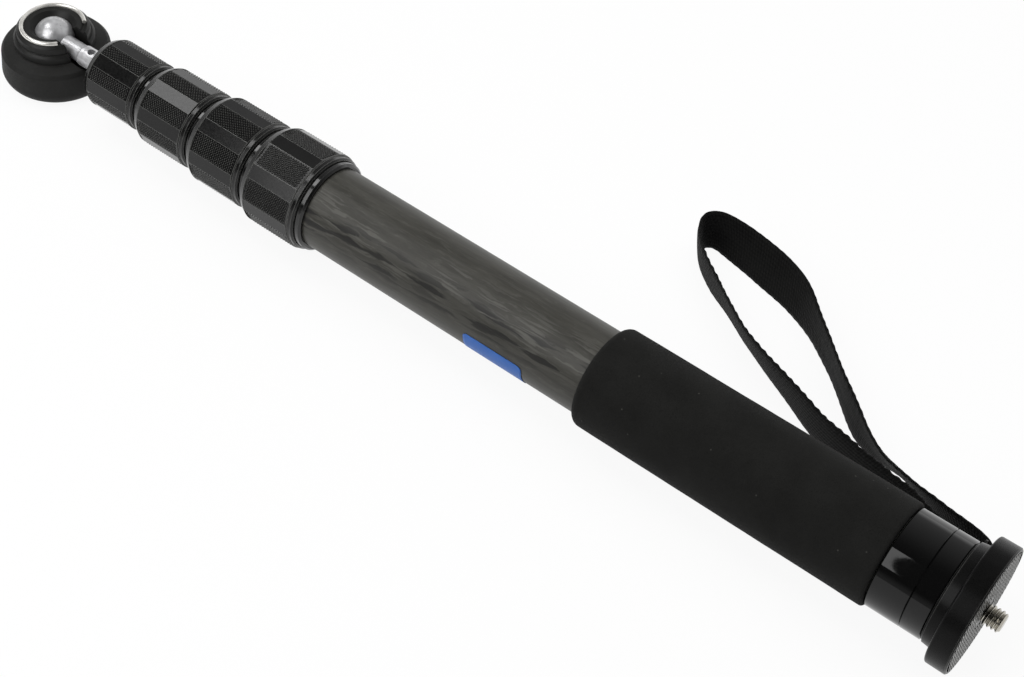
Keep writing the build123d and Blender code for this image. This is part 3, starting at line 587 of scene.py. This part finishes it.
def make_strap():
    line, length = spline_points(strap_route, STRAP_ROWS)
    points = []
    flat_places = []
    for i, middle in enumerate(line):
        share = i / (STRAP_ROWS - 1)
        run = share * length / MM
        ahead = line[min(i + 1, STRAP_ROWS - 1)] - line[max(i - 1, 0)]
        ahead = Vector((ahead.x, ahead.y, 0)).normalized()
        outward = Vector((-ahead.y, ahead.x, 0))
        lean = lean_at(share)
        width_way = Vector((0, 0, 1)) * cos(lean) + outward * sin(lean)
        thick_way = ahead.cross(width_way).normalized()
        waving = min(1.0, share / HELD_START, (1 - share) / HELD_END)
        for across, through, flat_across in strap_section(run, waving):
            points.append(middle + (width_way * across + thick_way * through) * MM)
            flat_places.append((run, flat_across))
    ring = 2 * STRAP_COLUMNS
    faces = [face[::-1] for face in grid_faces(STRAP_ROWS, ring, wrap_columns=True)]
    faces.append(tuple(range(ring)))
    faces.append(tuple(range((STRAP_ROWS - 1) * ring, STRAP_ROWS * ring))[::-1])
    strap = own("strap_band", points, faces, "upper_section", "strap_weave")
    layer = strap.data.uv_layers.new(name=WEAVE_MAP)
    for loop in strap.data.loops:
        layer.data[loop.index].uv = flat_places[loop.vertex_index]
    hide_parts("wrist_strap")
    return length


strap_length = make_strap()

# Foam grip, rounded much towards the tube and little towards the cap
GRIP_START, GRIP_END, GRIP_R, GRIP_BORE_R = 234.6, 334.2, 16.62, 14.05
GRIP_START_ROUND, GRIP_END_ROUND = 2.4, 0.9
GRIP_STEPS, GRIP_SEGMENTS = 120, 144
# How uneven its surface is, and how fast that changes along it and round it
GRIP_UNEVENNESS, UNEVEN_ALONG, UNEVEN_ROUND = 0.05, 0.12, 2.2


def grip_side():
    """The grip's outline before its unevenness."""
    first_s, last_s = GRIP_START + GRIP_START_ROUND, GRIP_END - GRIP_END_ROUND
    side = [(GRIP_START, GRIP_BORE_R)]
    side += arc_points((first_s, GRIP_R - GRIP_START_ROUND), GRIP_START_ROUND, 180, 90, steps=10)
    side += [(first_s + (last_s - first_s) * k / GRIP_STEPS, GRIP_R) for k in range(1, GRIP_STEPS)]
    side += arc_points((last_s, GRIP_R - GRIP_END_ROUND), GRIP_END_ROUND, 90, 0, steps=6)
    return side + [(GRIP_END, GRIP_BORE_R)]


def make_grip():
    side = grip_side()

    def outline_at(angle):
        y, z = cos(radians(angle)) * UNEVEN_ROUND, sin(radians(angle)) * UNEVEN_ROUND
        return [(s, r + GRIP_UNEVENNESS * uneven(s * UNEVEN_ALONG, y, z)) for s, r in side]

    grip = lathe("grip_sleeve", outline_at, GRIP_SEGMENTS, "grip_foam")
    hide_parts("foam_grip")


make_grip()

# Glossy cap with its seam groove, turned finely enough to mirror a lamp without waves
CAP_START, CAP_END, CAP_R, CAP_EDGE = 334.6, 352.1, 15.7, 0.3
SEAM_S, SEAM_HALF, SEAM_DEPTH, SEAM_EASE = 345.6, 0.175, 0.3, 0.06
CAP_FLOOR_S, CAP_HOLE_R, CAP_BORE_R = 349.0, 2.8, 14.02
CAP_SEGMENTS, CAP_SHARP = 180, 25


def make_cap():
    outline = [
        (CAP_START, CAP_BORE_R), (CAP_START, CAP_R - CAP_EDGE), (CAP_START + CAP_EDGE, CAP_R),
        (SEAM_S - SEAM_HALF - SEAM_EASE, CAP_R), (SEAM_S - SEAM_HALF, CAP_R - SEAM_EASE),
        (SEAM_S, CAP_R - SEAM_DEPTH),
        (SEAM_S + SEAM_HALF, CAP_R - SEAM_EASE), (SEAM_S + SEAM_HALF + SEAM_EASE, CAP_R),
        (CAP_END - CAP_EDGE, CAP_R), (CAP_END, CAP_R - CAP_EDGE), (CAP_END, CAP_HOLE_R),
        (CAP_FLOOR_S, CAP_HOLE_R), (CAP_FLOOR_S, CAP_BORE_R),
    ]
    cap = lathe("cap_shell", lambda angle: outline, CAP_SEGMENTS, "cap_gloss")
    cap.data.set_sharp_from_angle(angle=radians(CAP_SHARP))
    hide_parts("top_cap")


make_cap()

# Label film with rounded corners and nothing printed on it. It goes down from just above the front.
LABEL_START, LABEL_LEN, LABEL_CORNER = 193.0, 22.2, 1.6
LABEL_TOP, LABEL_SWEEP = 2.5, 48.0
LABEL_ROWS, LABEL_COLUMNS = 41, 33
FILM_GAP, FILM_THICKNESS = 0.12, 0.1


def make_label():
    points = []
    for i in range(LABEL_ROWS):
        angle = LABEL_TOP - LABEL_SWEEP * i / (LABEL_ROWS - 1)
        from_edge = min(i, LABEL_ROWS - 1 - i) / (LABEL_ROWS - 1) * radians(LABEL_SWEEP) * MAIN_TUBE_R
        inset = 0.0
        if from_edge < LABEL_CORNER:
            inset = LABEL_CORNER - sqrt(LABEL_CORNER**2 - (LABEL_CORNER - from_edge) ** 2)
        for j in range(LABEL_COLUMNS):
            s = LABEL_START + inset + (LABEL_LEN - 2 * inset) * j / (LABEL_COLUMNS - 1)
            points.append(on_pole(s, MAIN_TUBE_R + FILM_GAP, angle))
    label = own("label_film", points, grid_faces(LABEL_ROWS, LABEL_COLUMNS), "upper_section", "label_blue")
    film = label.modifiers.new("film", "SOLIDIFY")
    film.thickness = FILM_THICKNESS * MM
    film.offset = 0
    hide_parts("label_patch")


make_label()

# Camera screw with a real helical thread, and the slotted flange at its foot
STUD_R, STUD_ROOT, STUD_PITCH = 3.175, 2.6, 1.27
STUD_FOOT_S, STUD_BASE_S, STUD_TIP_S = 357.8, 362.6, 368.4
STUD_FOOT_R, STUD_AXIS_R = 2.55, 0.01
STUD_STEPS, STUD_SEGMENTS = 84, 72
# The thread's flat root and its flank, as shares of half a pitch
THREAD_ROOT, THREAD_FLANK = 0.12, 0.74
# The thread starts this far above the flange and grows over this length
THREAD_START, THREAD_GROWTH = 0.25, 0.5
# How much smaller than the thread the tip's cone ends, how fast it widens, and the hollow in the tip
TIP_CUT, TIP_SLOPE, TIP_FLAT_R, DIMPLE_R, DIMPLE_DEPTH = 0.75, 1.25, 1.9, 0.9, 0.05
FLANGE_R, FLANGE_BORE_R, FLANGE_HEIGHT, HUB_R = 5.2, 2.5, 1.0, 3.3
FLANGE_BACK_EASE, FLANGE_BACK_INSET, FLANGE_EASE = 0.1, 0.2, 0.15
# The coin slot across the flange
COIN_ANGLE, COIN_HALF_ANGLE, COIN_DEPTH, COIN_END_R = 90, 9, 0.45, 3.4


def clamped(value):
    return min(1.0, max(0.0, value))


def thread_radius(s, angle):
    phase = ((s - STUD_BASE_S) / STUD_PITCH - angle / 360) % 1.0
    tooth = clamped((abs(phase - 0.5) * 2 - THREAD_ROOT) / THREAD_FLANK)
    grown = clamped((s - STUD_BASE_S - THREAD_START) / THREAD_GROWTH)
    r = STUD_ROOT + (STUD_R - STUD_ROOT) * tooth * grown
    return min(r, STUD_R - TIP_CUT + (STUD_TIP_S - s) * TIP_SLOPE)


def screw_outline(angle):
    outline = [(STUD_FOOT_S, STUD_AXIS_R), (STUD_FOOT_S, STUD_FOOT_R)]
    for i in range(STUD_STEPS + 1):
        s = STUD_BASE_S + (STUD_TIP_S - STUD_BASE_S) * i / STUD_STEPS
        outline.append((s, thread_radius(s, angle)))
    dimple_s = STUD_TIP_S - DIMPLE_DEPTH
    return outline + [(STUD_TIP_S, TIP_FLAT_R), (dimple_s, DIMPLE_R), (dimple_s, STUD_AXIS_R)]


def flange_outline(angle):
    from_slot = (angle - COIN_ANGLE) % 180
    slotted = min(from_slot, 180 - from_slot) < COIN_HALF_ANGLE
    back_s = STUD_BASE_S - FLANGE_HEIGHT
    face_s = STUD_BASE_S - (COIN_DEPTH if slotted else 0.0)
    return [
        (back_s, FLANGE_BORE_R), (back_s, FLANGE_R - FLANGE_BACK_INSET),
        (back_s + FLANGE_BACK_EASE, FLANGE_R), (STUD_BASE_S - FLANGE_EASE, FLANGE_R),
        (face_s, FLANGE_R - FLANGE_EASE), (face_s, COIN_END_R),
        (STUD_BASE_S, HUB_R), (STUD_BASE_S, FLANGE_BORE_R),
    ]


stud = lathe("camera_screw", screw_outline, STUD_SEGMENTS, "bright_steel", closed=False)
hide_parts("camera_stud")
lathe("screw_flange", flange_outline, STUD_SEGMENTS, "black_alloy")

# Rubber pad of the platform with its fine slanting ribs
PAD_BACK_S, PAD_FACE_S, PAD_R, PAD_BORE_R = 361.9, 362.7, 18.8, 5.25
RIB_PITCH, RIB_DEPTH, RIB_ANGLE = 1.30, 0.22, 70.0
# Height of a rib, from 0 to 1, at shares of the pitch
RIB_PROFILE = ((0.08, 1.0), (0.38, 1.0), (0.48, 0.0), (0.98, 0.0))
PAD_COLUMNS = 12


def make_pad():
    points = []
    heights = []
    faces = []
    turn = radians(RIB_ANGLE)
    along_rib = FRONT * cos(turn) + UP * sin(turn)
    aside = UP * cos(turn) - FRONT * sin(turn)
    lines = []
    count = int(PAD_R / RIB_PITCH)
    for k in range(-count, count):
        lines += [((k + phase) * RIB_PITCH, high) for phase, high in RIB_PROFILE]
    for side in (1, -1):
        first = len(points)
        for offset, high in lines:
            far = sqrt(max(0.0, PAD_R**2 - offset**2))
            near = sqrt(max(0.0, PAD_BORE_R**2 - offset**2))
            face_s = PAD_FACE_S - RIB_DEPTH * (1 - high)
            step = (far - near) / (PAD_COLUMNS - 1)
            spots = [(near, PAD_BACK_S, 0.0)]
            spots += [(near + step * j, face_s, high) for j in range(PAD_COLUMNS)]
            spots += [(far, PAD_BACK_S, 0.0)]
            for reach, s, tall in spots:
                points.append(BALL + (POLE * s + along_rib * reach * side + aside * offset) * MM)
                heights.append(tall)
        strip = grid_faces(len(lines), PAD_COLUMNS + 2)
        faces += [tuple(first + v for v in (face if side < 0 else face[::-1])) for face in strip]
    pad = own("pad_facing", points, faces, "upper_section", "pad_rubber", smooth=False)
    mark_heights(pad, heights)
    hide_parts("platform_pad")


make_pad()

# Knurled fields on the wide flats of the twist collars. Lock 1 is the largest, next to the main tube.
LOCKS = range(1, 5)
LAST_LOCK_S, LOCK_SPACING, TUBE_STEP = 29.0, 25.3, 1.5
COLLAR_RISE, FLATS_LEN, WIDE_FLATS, PLAIN_WIDTH = 2.85, 18.4, 8, 4.8
# The angle of a plain flat, as each collar happens to be turned
PLAIN_ANGLE = {1: 42.0, 2: 12.5, 3: 24.0, 4: 13.0}
KNURL_STEP, KNURL_HEIGHT, KNURL_SINK = 0.50, 0.34, 0.03
KNURL_END_GAP, KNURL_SIDE_GAP = 0.5, 0.05


def knurl_count(length):
    """How many points the knurl has on a length, always odd."""
    return int(length / KNURL_STEP) // 2 * 2 + 1


def pyramid_faces(rows, columns):
    """Two triangles for each square of a grid, parted so that every second point is a pyramid's tip."""
    faces = []
    for i in range(rows - 1):
        for j in range(columns - 1):
            a = i * columns + j
            b, c, d = a + 1, a + columns + 1, a + columns
            if (i + j) % 2 == 0:
                faces += [(c, b, a), (d, c, a)]
            else:
                faces += [(d, b, a), (d, c, b)]
    return faces


def make_knurl(n):
    """All knurled fields of collar n, as one piece that turns with its lock."""
    collar_r = MAIN_TUBE_R - TUBE_STEP * (n - 1) + COLLAR_RISE
    start_s = LAST_LOCK_S + LOCK_SPACING * (len(LOCKS) - n) + KNURL_END_GAP
    flat_step = 360 / WIDE_FLATS
    half_flat = radians(flat_step / 2) - asin(PLAIN_WIDTH / 2 / collar_r)
    flat_r = collar_r * cos(half_flat)
    width = 2 * collar_r * sin(half_flat) - 2 * KNURL_SIDE_GAP
    length = FLATS_LEN - 2 * KNURL_END_GAP
    rows, columns = knurl_count(length), knurl_count(width)
    field_faces = pyramid_faces(rows, columns)
    points = []
    heights = []
    faces = []
    for k in range(WIDE_FLATS):
        turn = radians(PLAIN_ANGLE[n] + flat_step * (k + 0.5))
        out = FRONT * cos(turn) + UP * sin(turn)
        aside = UP * cos(turn) - FRONT * sin(turn)
        faces += [tuple(len(points) + v for v in face) for face in field_faces]
        for i in range(rows):
            s = start_s + length * i / (rows - 1)
            for j in range(columns):
                across = width * (j / (columns - 1) - 0.5)
                inside = 0 < i < rows - 1 and 0 < j < columns - 1
                tip = 1.0 if inside and (i + j) % 2 == 1 else 0.0
                r = flat_r + KNURL_HEIGHT * tip - KNURL_SINK
                points.append(BALL + (POLE * s + out * r + aside * across) * MM)
                heights.append(tip)
    piece = own(
        f"collar_knurl_{n}", points, faces, f"lock_{n}", "black_plastic", smooth=False, look=knurl_look)
    mark_heights(piece, heights)


for n in LOCKS:
    make_knurl(n)

# Materials on the kept nodes
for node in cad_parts.values():
    for place in node.material_slots:
        slot = place.material.name.split(".")[0] if place.material else ""
        if slot in looks:
            place.material = looks[slot]
own_looks = {"ball_stem": satin_steel, "foot_cup": cup_look}
for n in LOCKS:
    own_looks[f"lock_collar_{n}"] = collar_look
    own_looks[f"lock_ferrule_{n}"] = ring_look
for name, look in own_looks.items():
    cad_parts[name].material_slots[0].material = look

# Floor: white paper, its side in metres. It takes the object's shadow, and the camera and shiny pieces see
# it nearly as bright as the photograph's white ground.
FLOOR_SIDE = 12.0
PAPER_WHITE, PAPER_GLOW_SHARE = 0.92, 0.92
WHITE = (1, 1, 1, 1)


def floor_paper():
    paper = bpy.data.materials.new("floor_paper")
    paper.use_nodes = True
    tree = paper.node_tree
    tree.nodes.clear()
    matt = add_node(tree, "ShaderNodeBsdfDiffuse", {"Color": (PAPER_WHITE, PAPER_WHITE, PAPER_WHITE, 1)})
    glow = add_node(tree, "ShaderNodeEmission", {"Color": WHITE, "Strength": 1.0})
    ray = add_node(tree, "ShaderNodeLightPath").outputs
    seen = ray["Is Camera Ray"]
    for other in ("Is Glossy Ray", "Is Transmission Ray"):
        added = add_node(tree, "ShaderNodeMath", {0: seen, 1: ray[other]}, operation="ADD", use_clamp=True)
        seen = added.outputs[0]
    share = add_node(tree, "ShaderNodeMath", {0: seen, 1: PAPER_GLOW_SHARE}, operation="MULTIPLY")
    inputs = {0: share.outputs[0], 1: matt.outputs[0], 2: glow.outputs[0]}
    both = add_node(tree, "ShaderNodeMixShader", inputs)
    add_node(tree, "ShaderNodeOutputMaterial", {0: both.outputs[0]})
    return paper


def add_floor():
    half = FLOOR_SIDE / 2
    mesh = bpy.data.meshes.new("floor")
    corners = [(-half, -half, 0), (half, -half, 0), (half, half, 0), (-half, half, 0)]
    mesh.from_pydata(corners, [], [(0, 1, 2, 3)])
    mesh.materials.append(floor_paper())
    floor = bpy.data.objects.new("floor", mesh)
    bpy.context.collection.objects.link(floor)


add_floor()


# World: a glow low on the horizon, stronger behind the object
def fade(tree, value, low, high, start, end):
    inputs = {"Value": value, "From Min": low, "From Max": high, "To Min": start, "To Max": end}
    return add_node(tree, "ShaderNodeMapRange", inputs, interpolation_type="SMOOTHSTEP").outputs[0]


def light_world():
    world = bpy.data.worlds.new("studio")
    bpy.context.scene.world = world
    world.use_nodes = True
    tree = world.node_tree
    heading = add_node(tree, "ShaderNodeTexCoord").outputs["Generated"]
    _, behind, height = add_node(tree, "ShaderNodeSeparateXYZ", {0: heading}).outputs
    low_share = fade(tree, height, 0.04, 0.30, 1.0, 0.0)
    low_glow = fade(tree, behind, -0.6, 0.3, 0.35, 0.8)
    all_over = fade(tree, behind, -0.35, 0.95, 0.04, 0.55)
    inputs = {0: low_share, 1: low_glow, 2: all_over}
    strength = add_node(tree, "ShaderNodeMath", inputs, operation="MULTIPLY_ADD")
    backing = tree.nodes["Background"]
    backing.inputs["Color"].default_value = WHITE
    tree.links.new(strength.outputs[0], backing.inputs["Strength"])


light_world()


# Lamps, with places and sizes in metres and power in watts
def soft_lamp(name, spot, target, size, power, mirrored=True):
    data = bpy.data.lights.new(name, "AREA")
    data.shape = "RECTANGLE"
    data.size, data.size_y = size
    data.energy = power
    lamp = bpy.data.objects.new(name, data)
    lamp.location = spot
    aim = (Vector(target) - Vector(spot)).to_track_quat("-Z", "Y")
    lamp.rotation_euler = aim.to_euler()
    lamp.visible_glossy = mirrored
    bpy.context.collection.objects.link(lamp)


soft_lamp("lamp_above", (0.2, 0.35, 1.6), target=(0.18, 0, 0), size=(2.0, 1.6), power=15.5, mirrored=False)
soft_lamp("lamp_left", (-0.77, -0.12, 1.26), target=(0.065, 0, 0), size=(0.46, 0.46), power=3.6)
soft_lamp("lamp_front", (-0.195, -0.747, 0.79), target=(-0.195, 0, 0), size=(0.758, 0.81), power=6.4)

bpy.context.scene.view_settings.view_transform = "Standard"
